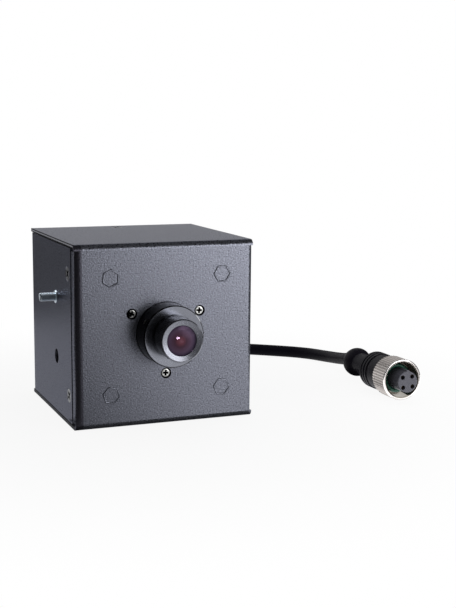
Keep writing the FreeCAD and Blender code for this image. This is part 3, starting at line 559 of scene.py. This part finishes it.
nickel = plated("bright_nickel_plate", ("#d0ccc4", "#dedad2"), (0.24, 0.34))
dress(nickel, "lens_lock_screw")
black_zinc = plated("black_zinc_plate", ("#616267", "#74757a"), (0.3, 0.42), metallic=0.9)
dress(black_zinc, "shell_side_screws", "shell_rear_screws")
zinc = plated("bright_zinc_plate", ("#bccad6", "#d2dce4"), (0.32, 0.42), metallic=0.8)
dress(zinc, "side_stud")
thread.data.materials.append(zinc)
steel = plated("zinc_plated_strip", ("#a4a9ac", "#b8bdc0"), (0.3, 0.42))
dress(steel, "screw_strips", "board_spacers", "main_board_screws", "storage_capacitors")

# %% [markdown]
# ## Painted shade in the screw recesses
#
# The cross in a screw head is a narrow pit that hardly any light leaves again, so it is what the eye finds
# first on a small screw. The pits are there in the meshes, but their smooth walls still mirror the bright
# room. So a mask by the depth under the head's face paints the pit black and dull as shade, and the rim
# stays metal.

# %% Nickel screws with painted shade in the recess
RECESS_FROM, RECESS_TO = -31.03 * MM, -30.98 * MM
NICKEL_AND_PAINTED_SHADE_TONES, RECESS_GLOSS = ("#c2c2c0", "#060606"), (0.28, 0.6)
NO_RELIEF = 0.0

recessed, tree, shader, here = start("nickel_screw_with_painted_shade_recess", Metallic=1.0)
depth = add(tree, "SeparateXYZ", {"Vector": here}).outputs["Y"]
# nickel on the head, painted shade in the cross recess
finish(tree, shader, ramp(tree, depth, RECESS_FROM, RECESS_TO), NICKEL_AND_PAINTED_SHADE_TONES, RECESS_GLOSS, NO_RELIEF)
dress(recessed, "lens_mount_screws")
lens_screws.data.materials.append(recessed)

# %% Shell screws with painted shade in the recess
SIDE_OVER_HEIGHT = 0.5 * MM
HEAD_FACE, RECESS_DEEP = 31.4 * MM, 31.3 * MM
PIT_PAINTED_SHADE = "#050505"

tree = black_zinc.node_tree
place = add(tree, "SeparateXYZ", {"Vector": own_place(tree)}).outputs
aside = from_middle(tree, place["X"], 0.0)
across = add(tree, "Math", {0: aside, 1: SIDE_OVER_HEIGHT}, operation="SUBTRACT").outputs[0]
upward = from_middle(tree, place["Z"], HALF_HEIGHT)
outermost = add(tree, "Math", {0: across, 1: upward}, operation="MAXIMUM").outputs[0]
# paints the cross recess near black, as shade
recolour(black_zinc, ramp(tree, outermost, HEAD_FACE, RECESS_DEEP), PIT_PAINTED_SHADE)
print("recess, soft over", round((HEAD_FACE - RECESS_DEEP) / MM, 2), "mm")

# %% [markdown]
# ## The lens
#
# Mount, barrel and rings are turned from aluminium and anodised black. A lathe leaves fine circles round
# the lens axis, which catch the light as thin bright arcs: a Wave texture set to rings draws them, moved
# to the lens axis by a Mapping node. The ring round the glass is a shade lighter and more matt.

# %% Black anodised aluminium, turned
TURNING_PITCH, TURNING_HEIGHT = 0.3 * MM, 0.002 * MM
# a Wave texture of scale 1 repeats after this many metres
WAVE_PER_SCALE = 0.314
WAVE_UNEVEN = 0.6

anodised, tree, shader, here = start("black_anodised_aluminium", Metallic=0.97)
on_axis = add(tree, "Mapping", {"Vector": here, "Location": (0, 0, -LENS_AXIS_Z)}).outputs["Vector"]
circles = add(tree, "TexWave", {
    "Vector": on_axis, "Scale": WAVE_PER_SCALE / TURNING_PITCH, "Distortion": WAVE_UNEVEN,
    "Detail": GRAIN_DETAIL,
}, wave_type="RINGS", rings_direction="Y")
finish(tree, shader, circles.outputs["Fac"], ("#6c6e76", "#84868f"), (0.12, 0.2), TURNING_HEIGHT)
dress(anodised, "lens_mount", "lens_barrel", "lens_spacer", "rear_lens_ring")
ring_coat = plated("satin_grey_anodised_ring", ("#7c7e87", "#8e909a"), (0.2, 0.28), metallic=0.72)
dress(ring_coat, "lens_front_ring")

# %% [markdown]
# ## Edge and front of the lens neck
#
# The neck's outside is painted darker than its turned front, as shade, and at the upper right its front
# corner gets a thin bright arc painted on, a painted highlight where the light catches it. Masks by the
# distance from the lens axis, by depth and by the side towards the light find these places. The front
# itself is turned a little hollow, which spreads the light over it. The CAD face is flat, so a bump whose
# height grows with the radius tilts it for the light and leaves the mesh as it is.

# %% Painted shade on the neck's outside and a painted highlight on its front edge
EDGE_FROM, EDGE_TO = 10.28 * MM, 10.36 * MM
EDGE_BACK, EDGE_FRONT = -39.5 * MM, -39.6 * MM
LIT_SIDE = (0.77, 0, 0.64)
LIT_FROM, LIT_TO = 0.6 * EDGE_FROM, 0.85 * EDGE_FROM
OUTSIDE_PAINTED_SHADE, NECK_EDGE_PAINTED_HIGHLIGHT = "#232327", "#d0d2d8"

flat = add(tree, "VectorMath", {0: on_axis, 1: (1, 0, 1)}, operation="MULTIPLY").outputs["Vector"]
radius = add(tree, "VectorMath", {0: flat}, operation="LENGTH").outputs["Value"]
depth = add(tree, "SeparateXYZ", {"Vector": here}).outputs["Y"]
outside = ramp(tree, radius, EDGE_FROM, EDGE_TO)
front_corner = both(tree, outside, ramp(tree, depth, EDGE_BACK, EDGE_FRONT))
reach = add(tree, "VectorMath", {0: flat, 1: LIT_SIDE}, operation="DOT_PRODUCT").outputs["Value"]
toward_light = ramp(tree, reach, LIT_FROM, LIT_TO)
# painted shade on the neck's outside, and a painted highlight on its front corner towards the light
recolour(anodised, outside, OUTSIDE_PAINTED_SHADE)
recolour(anodised, both(tree, front_corner, toward_light), NECK_EDGE_PAINTED_HIGHLIGHT)
print("bare edge, soft over", round((EDGE_TO - EDGE_FROM) / MM, 2), "mm")

# %% Front of the neck, turned a little hollow
DISH_SLOPE = math.tan(math.radians(3.0))

rise = add(tree, "Math", {0: radius, 1: DISH_SLOPE}, operation="MULTIPLY").outputs[0]
fine = shader.inputs["Normal"].links[0].from_socket
dish = add(tree, "Bump", {"Height": rise, "Distance": 1.0, "Strength": 1.0, "Normal": fine})
tree.links.new(dish.outputs["Normal"], shader.inputs["Normal"])
print("dish", round(DISH_SLOPE, 3), "slope")

# %% [markdown]
# ## The glass
#
# The front lens is coated against reflections, so what little it mirrors comes back purple, and through
# it the elements behind show as rings of wine red, brighter in the middle. Modelling every element and
# its coating would need light traced through all of them. A colour ramp by the distance from the axis
# paints the same rings into the glass's colour instead, as a painted reflection.

# %% Coated glass with painted rings
GLASS_RADIUS, CORE_ASIDE = 5.2 * MM, 0.5 * MM
GLASS_TINT = colour("#d8b4dc")
PAINTED_GLASS_RINGS = [
    (0, "#96606e"), (0.2, "#804c58"), (0.38, "#5c404e"), (0.55, "#664c60"),
    (0.74, "#6c5870"), (0.9, "#54465e"), (1, "#3c3448"),
]

glass, tree, shader, here = start(
    "coated_optical_glass", Transmission_Weight=0.25, IOR=1.5, Roughness=0.02, Specular_IOR_Level=0.04,
    Specular_Tint=GLASS_TINT)
# painted reflection: the rings of the elements behind, their middle set a little aside of the axis
on_axis = add(tree, "Mapping", {
    "Vector": here, "Location": (CORE_ASIDE, 0, -LENS_AXIS_Z), "Scale": (1, 0, 1)}).outputs["Vector"]
from_axis = add(tree, "VectorMath", {0: on_axis}, operation="LENGTH").outputs["Value"]
rings = add(tree, "ValToRGB", {"Fac": ramp(tree, from_axis, 0.0, GLASS_RADIUS)})
steps = rings.color_ramp.elements
for ring in PAINTED_GLASS_RINGS[1:-1]:
    steps.new(ring[0])
for step, ring in zip(steps, PAINTED_GLASS_RINGS):
    step.color = colour(ring[1])
tree.links.new(rings.outputs["Color"], shader.inputs["Base Color"])
dress(glass, "front_lens", "sensor_window")

# %% Ruby glass at the back
GLASS_HAZE = 2.0 * MM

ruby = grained("ruby_coated_glass", ("#54161e", "#6a1c26"), GLASS_HAZE, (0.10, 0.14), NO_RELIEF,
               Coat_Weight=1.0)
dress(ruby, "rear_lens")

# %% [markdown]
# ## The connector and its cable
#
# The ridged coupling nut is nickel plated: its crests are painted lighter as a highlight, its grooves and
# its inside darker as shade. The grip behind it is moulded black plastic with a fine spark-eroded grain,
# and the cable's jacket is a soft black plastic with a faint sheen. A grey insert with gold plated
# contacts stands out of the nut's mouth, and a green sealing ring lies deep inside. Masks by the distance
# from the nut's own axis tell crest, groove and inside apart, and one by the place along that axis paints
# shade on the insert's flank, which is seen on the side that faces away from the lamp.

# %% Coupling nut
THREAD_BRIGHT, THREAD_DARK = 6.96 * MM, 6.9 * MM
RIDGES_FROM, RIDGES_TO = 7.3 * MM, 7.36 * MM
CREST_FROM, CREST_TO = 7.52 * MM, 7.7 * MM
# painted shade inside and in the grooves, painted highlight on the crests
INSIDE_PAINTED_SHADE, GROOVE_PAINTED_SHADE, CREST_PAINTED_HIGHLIGHT = "#7c776f", "#8f8986", "#b6b0ac"


def from_nut(tree):
    """The place on a piece, seen from the middle of the nut's mouth."""
    return add(tree, "VectorMath", {0: own_place(tree), 1: NUT_AT}, operation="SUBTRACT").outputs["Vector"]


nut_plate = plated("nickel_plated_brass", ("#ccc6c2", "#ded8d4"), (0.36, 0.44))
dress(nut_plate, "coupling_nut")
# the lip's plating is lighter than the nut's: partly polish, partly a painted highlight along the lip
lip_plate = plated("polished_nickel_lip", ("#ece8e6", "#f6f2f0"), (0.16, 0.22))
nut_lip.data.materials.append(lip_plate)
tree = nut_plate.node_tree
offset = from_nut(tree)
across = add(tree, "VectorMath", {0: offset, 1: NUT_AXIS}, operation="CROSS_PRODUCT").outputs["Vector"]
radius = add(tree, "VectorMath", {0: across}, operation="LENGTH").outputs["Value"]
# paints the inside and the grooves darker as shade and the crests lighter as a highlight
recolour(nut_plate, ramp(tree, radius, THREAD_BRIGHT, THREAD_DARK), INSIDE_PAINTED_SHADE)
recolour(nut_plate, ramp(tree, radius, RIDGES_FROM, RIDGES_TO), GROOVE_PAINTED_SHADE)
recolour(nut_plate, ramp(tree, radius, CREST_FROM, CREST_TO), CREST_PAINTED_HIGHLIGHT)

# %% Mould and jacket
MOULD_GRAIN, MOULD_HEIGHT = 0.25 * MM, 0.006 * MM
JACKET_GRAIN, JACKET_HEIGHT = 0.5 * MM, 0.004 * MM

mould = grained("black_moulded_polyurethane", ("#131119", "#1b1922"), MOULD_GRAIN, (0.42, 0.56),
                MOULD_HEIGHT, Specular_IOR_Level=0.07)
dress(mould, "connector_body", "cable_bushing")
jacket = grained("black_cable_jacket", ("#0f0d16", "#16141d"), JACKET_GRAIN, (0.40, 0.52), JACKET_HEIGHT,
                 Specular_IOR_Level=0.05)
dress(jacket, "network_cable")
cable.data.materials.append(jacket)

# %% Insert, contacts and seal
FACE_FRONT, FACE_BACK = 4.35 * MM, 4.2 * MM
FLANK_PAINTED_SHADE = "#4e4e56"

insert = grained("grey_glass_filled_nylon", ("#70707a", "#82828c"), MOULD_GRAIN, (0.4, 0.52), MOULD_HEIGHT,
                 Specular_IOR_Level=0.2)
dress(insert, "contact_insert")
tree = insert.node_tree
along = add(tree, "VectorMath", {0: from_nut(tree), 1: NUT_AXIS}, operation="DOT_PRODUCT").outputs["Value"]
# paints shade on the insert's flank behind its face
recolour(insert, ramp(tree, along, FACE_FRONT, FACE_BACK), FLANK_PAINTED_SHADE)
gold = plated("gold_plated_contact", ("#cf9a3a", "#e0ae50"), (0.2, 0.3))
dress(gold, "contact_sockets")
rubber = grained("green_sealing_rubber", ("#124d3c", "#19604c"), MOULD_GRAIN, (0.45, 0.6), MOULD_HEIGHT)
dress(rubber, "insert_seal")

# %% [markdown]
# ## What the housing hides
#
# The boards, chips and connectors inside are only seen when the model is taken apart. They still get
# their own finish: green solder resist with the paler lines of the copper under it, black moulding
# compound, foam, cream nylon and coloured wire. A Brick texture stands for the tracks, its joints for the
# gaps between them.

# %% Boards
TRACE_GRID, RESIST_HEIGHT = 1.2 * MM, 0.02 * MM
TRACE_LENGTH, TRACE_GAP = 5 * TRACE_GRID, TRACE_GRID / 8

resist, tree, shader, here = start("green_solder_resist", IOR=1.5)
flat = add(tree, "Mapping", {"Vector": here, "Rotation": (math.pi / 2, 0, 0)}).outputs["Vector"]
tracks = add(tree, "TexBrick", {
    "Vector": flat, "Scale": 1.0, "Brick Width": TRACE_LENGTH, "Row Height": TRACE_GRID,
    "Mortar Size": TRACE_GAP, "Mortar Smooth": 0.2,
})
finish(tree, shader, tracks.outputs["Fac"], ("#17502c", "#2b7342"), (0.3, 0.36), RESIST_HEIGHT)
dress(resist, "sensor_board", "main_board")

# %% Components
BOARD_GRAIN, FOAM_HEIGHT = 0.3 * MM, 0.05 * MM

epoxy = grained("black_moulding_compound", ("#161617", "#212123"), BOARD_GRAIN, (0.5, 0.65), MOULD_HEIGHT)
dress(epoxy, "processor", "memory_chips", "storage_chip", "network_transformer", "power_inductor",
      "image_sensor")
foam = grained("closed_cell_foam", ("#0f0f0f", "#1b1b1b"), BOARD_GRAIN, (0.85, 0.95), FOAM_HEIGHT)
dress(foam, "light_seal")
nylon = grained("cream_nylon", ("#ddd6c4", "#ebe5d6"), BOARD_GRAIN, (0.4, 0.5), MOULD_HEIGHT)
dress(nylon, "board_link", "cable_header", "cable_plug")
sheath = grained("orange_wire_sheath", ("#c4681f", "#d67a30"), BOARD_GRAIN, (0.35, 0.45), JACKET_HEIGHT)
dress(sheath, "inner_leads")

# %% [markdown]
# ## The studio
#
# A white table runs into a white background, one lamp stands close on the right and the room behind the
# camera and above is dark: satin metal shows little of its own colour, so its shape is read from what it
# mirrors. The table is partly white paint near the cube, where it takes the shadow, and turns into plain
# white light further out for the eye and for reflections, so that no horizon shows and the object isn't
# lit by it.

# %% World
AMBIENT = 0.25


def seen_level(tree):
    """1 where the eye or a reflection looks, and the ambient level for what lights the object."""
    rays = add(tree, "LightPath").outputs
    seen = add(tree, "Math", {0: rays["Is Camera Ray"], 1: rays["Is Glossy Ray"]}, operation="MAXIMUM")
    seen = add(tree, "Math", {0: seen.outputs[0], 1: rays["Is Transmission Ray"]}, operation="MAXIMUM")
    light = add(tree, "MapRange", {"Value": seen.outputs[0], "To Min": AMBIENT, "To Max": 1.0})
    return light.outputs["Result"]


bpy.context.scene.view_settings.view_transform = "Standard"
world = bpy.data.worlds.new("studio")
bpy.context.scene.world = world
world.use_nodes = True
sky = world.node_tree.nodes["Background"]
sky.inputs["Color"].default_value = (1, 1, 1, 1)
world.node_tree.links.new(seen_level(world.node_tree), sky.inputs["Strength"])
print("ambient light", AMBIENT)

# %% Floor
FLOOR_SIZE = 12.0
TABLE_PAINT = 0.1
FADE_FROM, FADE_TO = 0.05, 0.18

bpy.ops.object.select_all(action="DESELECT")
bpy.ops.mesh.primitive_plane_add(size=FLOOR_SIZE)
floor = bpy.context.object
floor.name = "floor"
white, tree, shader, here = start(
    "white_table", Base_Color=colour("#f2f2f2"), Roughness=0.8, Specular_IOR_Level=0.2)
floor.data.materials.append(white)
away = add(tree, "VectorMath", {0: here}, operation="LENGTH").outputs["Value"]
share = add(tree, "MapRange", {
    "Value": away, "From Min": FADE_FROM, "From Max": FADE_TO, "To Min": 1 - TABLE_PAINT, "To Max": 1.0,
}, interpolation_type="SMOOTHSTEP").outputs["Result"]
glow = add(tree, "Emission", {"Color": (1, 1, 1, 1), "Strength": seen_level(tree)}).outputs["Emission"]
mixed = add(tree, "MixShader", {0: share, 1: shader.outputs["BSDF"], 2: glow})
tree.links.new(mixed.outputs["Shader"], tree.nodes["Material Output"].inputs["Surface"])
print("floor", FLOOR_SIZE, "m wide")

# %% [markdown]
# ## Lamps
#
# A soft lamp close on the right does the work: it shades the front from right to left and grazes its
# grain. A large weak one overhead fills in, unseen by reflections. Two small ones each light one piece
# alone, which Blender calls light linking: one is the catch light in the front glass, and one picks out
# the stud and counts only where the eye sees the stud itself, so no streak of it shows in the wall beside
# it.

# %% Lamps that face the cube
LAMP_TARGET = (0, 0, 0.03)
# place and size in metres, and brightness
LAMPS = {
    "right_softbox": ((0.272, -0.354, 0.11), (0.31, 0.22), 2.7),
    "overhead_fill": ((0.1, 0.1, 1.0), (1.0, 1.0), 1.0),
    "catch_light": ((0.038, -0.295, 0.016), (0.024, 0.024), 140.0),
    "stud_kicker": ((-0.055, 0.04, 0.15), (0.06, 0.06), 14.0),
}


def facing(at, target, axis):
    """The rotation that turns one axis of a thing from its place to a target."""
    return (Vector(target) - Vector(at)).to_track_quat(axis, "Y").to_euler()


def softbox(name, at, size, radiance):
    """A soft rectangular lamp of a given brightness that faces the cube."""
    bpy.ops.object.select_all(action="DESELECT")
    bpy.ops.object.light_add(type="AREA")
    lamp = bpy.context.object
    lamp.name = name
    lamp.location = at
    lamp.rotation_euler = facing(at, LAMP_TARGET, "-Z")
    lamp.data.shape = "RECTANGLE"
    lamp.data.size, lamp.data.size_y = size
    lamp.data.energy = radiance * math.pi * size[0] * size[1]
    lamp.visible_camera = False
    return lamp


lamps = {name: softbox(name, *values) for name, values in LAMPS.items()}
lamps["overhead_fill"].visible_glossy = False
lamps["catch_light"].visible_diffuse = False
lamps["stud_kicker"].data.cycles.max_bounces = 0
for name, piece in (("catch_light", nodes["front_lens"]), ("stud_kicker", thread)):
    lit_piece = bpy.data.collections.new(name + "_receiver")
    lit_piece.objects.link(piece)
    lamps[name].light_linking.receiver_collection = lit_piece
print("lamps", len(lamps))

# %% [markdown]
# ## Cards
#
# Photographers stand cards round a shiny object, so that it mirrors them and not the white room. Here only
# reflections see the cards: they cast no shadow and throw no light on anything rough. Black ones keep the
# coat dark, grey ones hold back the white beside the nut and the left wall, one narrow bright one draws a
# highlight, and the one on the table in front goes from black on the left to bright on the right, as the
# front panel does.

# %% Materials of the cards
CARD_PAINT = {"Base_Color": colour("#0a0a0a"), "Roughness": 1.0, "Emission_Color": (1, 1, 1, 1)}
GREY_LEVEL, BRIGHT_LEVEL = 0.22, 4.5
EDGE_MARKS, EDGE_LEVELS = (-0.022, 0.034), (0.03, 1.0)
GLOW_MARKS, GLOW_LEVELS = (0.02, 0.16), (0.0, 0.8)


def level(tree, value, marks, levels):
    """Light that goes from one level to another while a value goes from one mark to another."""
    return add(tree, "MapRange", {
        "Value": value, "From Min": marks[0], "From Max": marks[1],
        "To Min": levels[0], "To Max": levels[1],
    }).outputs["Result"]


black_card = start("black_card", Emission_Strength=0.0, **CARD_PAINT)[0]
grey_card = start("grey_card", Emission_Strength=GREY_LEVEL, **CARD_PAINT)[0]
bright_card = start("bright_card", Emission_Strength=BRIGHT_LEVEL, **CARD_PAINT)[0]
fading_card, tree, shader, here = start("fading_card", **CARD_PAINT)
side = add(tree, "SeparateXYZ", {"Vector": here}).outputs["X"]
edge = level(tree, side, EDGE_MARKS, EDGE_LEVELS)
glow = level(tree, side, GLOW_MARKS, GLOW_LEVELS)
total = add(tree, "Math", {0: edge, 1: glow}, operation="ADD").outputs[0]
tree.links.new(total, shader.inputs["Emission Strength"])
print("cards in black, grey, bright and fading")

# %% Cards in their places
# name, place, size, the point that it faces, material
STANDING_CARDS = [
    ("front_flag", (-0.36, -0.8, 0.3), (1.3, 0.7), (0, 0, 0.1), black_card),
    ("left_flag", (-0.4, -0.3, 0.25), (0.7, 0.6), (0, -0.3, 0.25), black_card),
    ("back_left_flag", (-0.17, 0.19, 0.03), (0.34, 0.06), (-0.17, 0, 0.03), grey_card),
    ("right_flag", (0.17, 0.1, 0.03), (0.5, 0.06), (0, 0.1, 0.03), black_card),
    ("strip_card", (0.22, -0.4, 0.16), (0.3, 0.05), (0, 0, 0.06), bright_card),
]
# name, place, size, turn about the vertical in degrees, material
FLAT_CARDS = [
    ("ceiling_flag", (0.69, -0.4, 0.6), (1.62, 2.0), 0, black_card),
    ("ceiling_left_flag", (-0.81, -0.675, 0.6), (1.38, 1.45), 0, black_card),
    ("nut_floor_flag", (0.15, -0.01, 0.0005), (0.07, 0.06), 0, grey_card),
    ("corner_flag", (-0.07, -0.065, 0.0015), (0.075, 0.07), 0, black_card),
    ("mouth_flag", (0.125, -0.085, 0.003), (0.05, 0.07), 0, grey_card),
    ("right_floor_flag", (0.11, 0.006, 0.0008), (0.13, 0.03), 25, black_card),
    ("left_floor_flag", (-0.25, -0.01, 0.002), (0.3, 0.18), 0, black_card),
    ("floor_flag", (0.0502, -0.3903, 0.002), (1.0, 0.755), 10.9, fading_card),
    ("foot_flag", (0, -0.034, 0.0003), (0.064, 0.010), 0, black_card),
]


def put_card(name, at, size, rotation, material):
    """A thin card that only reflections see."""
    bpy.ops.object.select_all(action="DESELECT")
    bpy.ops.mesh.primitive_plane_add(size=1, location=at, rotation=rotation)
    card = bpy.context.object
    card.name = name
    card.scale = (*size, 1)
    card.visible_camera = card.visible_diffuse = card.visible_shadow = card.visible_transmission = False
    card.data.materials.append(material)


for name, at, size, target, material in STANDING_CARDS:
    put_card(name, at, size, facing(at, target, "Z"), material)
for name, at, size, turned, material in FLAT_CARDS:
    put_card(name, at, size, (0, 0, math.radians(turned)), material)
print("cards", len(STANDING_CARDS) + len(FLAT_CARDS))
